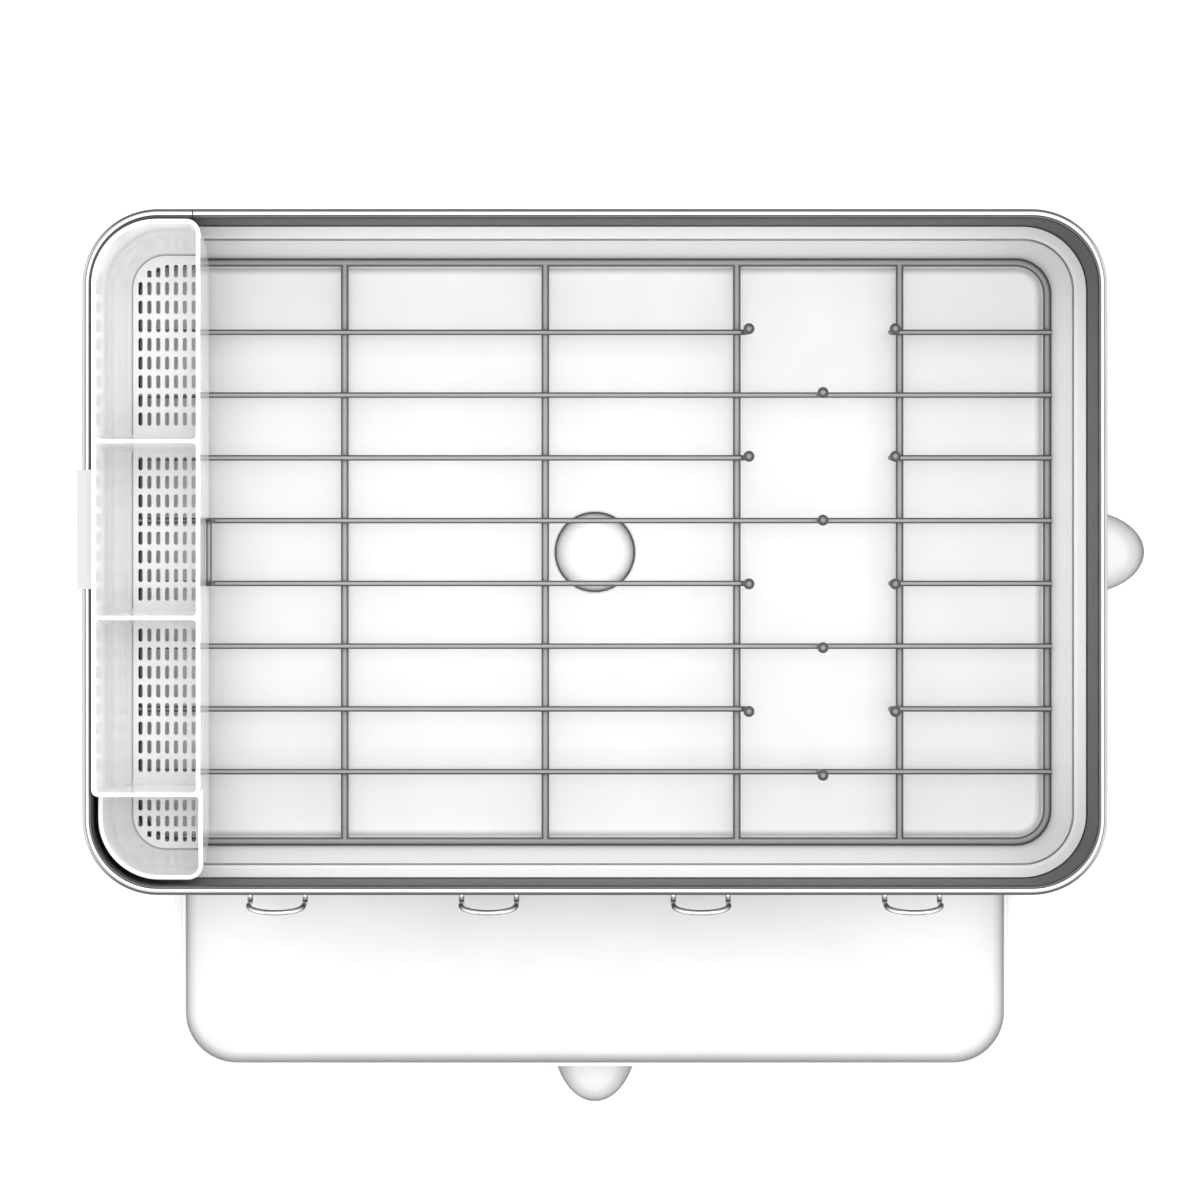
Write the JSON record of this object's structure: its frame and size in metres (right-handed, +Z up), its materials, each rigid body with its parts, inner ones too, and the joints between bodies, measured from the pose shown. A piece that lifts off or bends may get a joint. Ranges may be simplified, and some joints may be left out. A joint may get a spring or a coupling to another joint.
{
  "type": "dish drying rack",
  "caption": "Countertop dish drying rack: steel-walled frame, drip tray, wire rack with prongs, side utensil caddy, glass hooks, pull-out glass tray and swivelling drain spouts.",
  "frame": {"origin": "on the counter, under the centre of the whole rack's box", "axes": "+X to the right along the rack's long side, towards the side spout; +Y to the back; +Z up"},
  "size_m": [0.602, 0.5056, 0.162],
  "materials": {
    "brushed_steel_band": "stainless sheet brushed along the band, bright rolled bead",
    "polished_steel_wire": "polished stainless wire",
    "grey_coated_wire": "satin grey coating on steel wire",
    "white_gloss_plastic": "smooth moulded white",
    "white_matt_plastic": "fine moulded texture",
    "grey_rubber": "matt",
    "bright_screws": "bright steel pan-head screws"
  },
  "bodies": {
    "frame": {"steel_frame": "brushed_steel_band", "base_frame": "white_matt_plastic", "spout_bridge": "white_matt_plastic", "drain_cup": "white_gloss_plastic", "outlet_pan": "white_gloss_plastic", "cup_screw": "bright_screws", "bridge_screw_1": "bright_screws", "bridge_screw_2": "bright_screws", "bridge_screw_3": "bright_screws", "bridge_screw_4": "bright_screws", "rail_screw_right": "bright_screws", "rail_screw_left": "bright_screws", "foot_back_right": "grey_rubber", "foot_back_left": "grey_rubber", "foot_front_left": "grey_rubber", "foot_front_right": "grey_rubber", "glass_hook_1": "polished_steel_wire", "glass_hook_2": "polished_steel_wire", "glass_hook_3": "polished_steel_wire", "glass_hook_4": "polished_steel_wire", "guide_rail_right": "white_matt_plastic", "guide_rail_left": "white_matt_plastic"},
    "drip_tray": {"drip_tray": "white_gloss_plastic", "drain_seal": "grey_rubber"},
    "wire_rack": {"perimeter_wire": "grey_coated_wire", "cross_wire_1": "grey_coated_wire", "cross_wire_2": "grey_coated_wire", "cross_wire_3": "grey_coated_wire", "cross_wire_4": "grey_coated_wire", "long_wire_2": "grey_coated_wire", "long_wire_4": "grey_coated_wire", "long_wire_6": "grey_coated_wire", "long_wire_8": "grey_coated_wire", "long_wire_1_left": "grey_coated_wire", "long_wire_1_right": "grey_coated_wire", "long_wire_3_left": "grey_coated_wire", "long_wire_3_right": "grey_coated_wire", "long_wire_5_left": "grey_coated_wire", "long_wire_5_right": "grey_coated_wire", "long_wire_7_left": "grey_coated_wire", "long_wire_7_right": "grey_coated_wire", "prong_2": "grey_coated_wire", "prong_4": "grey_coated_wire", "prong_6": "grey_coated_wire", "prong_8": "grey_coated_wire", "caddy_staple": "grey_coated_wire"},
    "caddy": {"caddy_shell": "white_gloss_plastic", "caddy_floor": "white_gloss_plastic"},
    "glass_tray": {"glass_tray": "white_gloss_plastic"},
    "side_spout": {"side_spout": "white_gloss_plastic"},
    "front_spout": {"front_spout": "white_gloss_plastic"}
  },
  "joints": [
    {"name": "drip_tray_lift", "type": "slide", "parent": "frame", "child": "drip_tray", "axis": [0, 0, 1], "range_m": [0, 0.12]},
    {"name": "rack_lift", "type": "slide", "parent": "drip_tray", "child": "wire_rack", "axis": [0, 0, 1], "range_m": [0, 0.1]},
    {"name": "caddy_lift", "type": "slide", "parent": "wire_rack", "child": "caddy", "axis": [0, 0, 1], "range_m": [0, 0.1]},
    {"name": "glass_tray_slide", "type": "slide", "parent": "frame", "child": "glass_tray", "axis": [0, 1, 0], "range_m": [0, 0.1]},
    {"name": "side_spout_swivel", "type": "hinge", "parent": "frame", "child": "side_spout", "pos_m": [-0.015, 0.06315, 0.024], "axis": [0, 0, 1], "range_deg": [-20, 20]},
    {"name": "front_spout_swivel", "type": "hinge", "parent": "frame", "child": "front_spout", "pos_m": [-0.015, 0.06315, 0.022], "axis": [0, 0, 1], "range_deg": [-20, 20]}
  ]
}
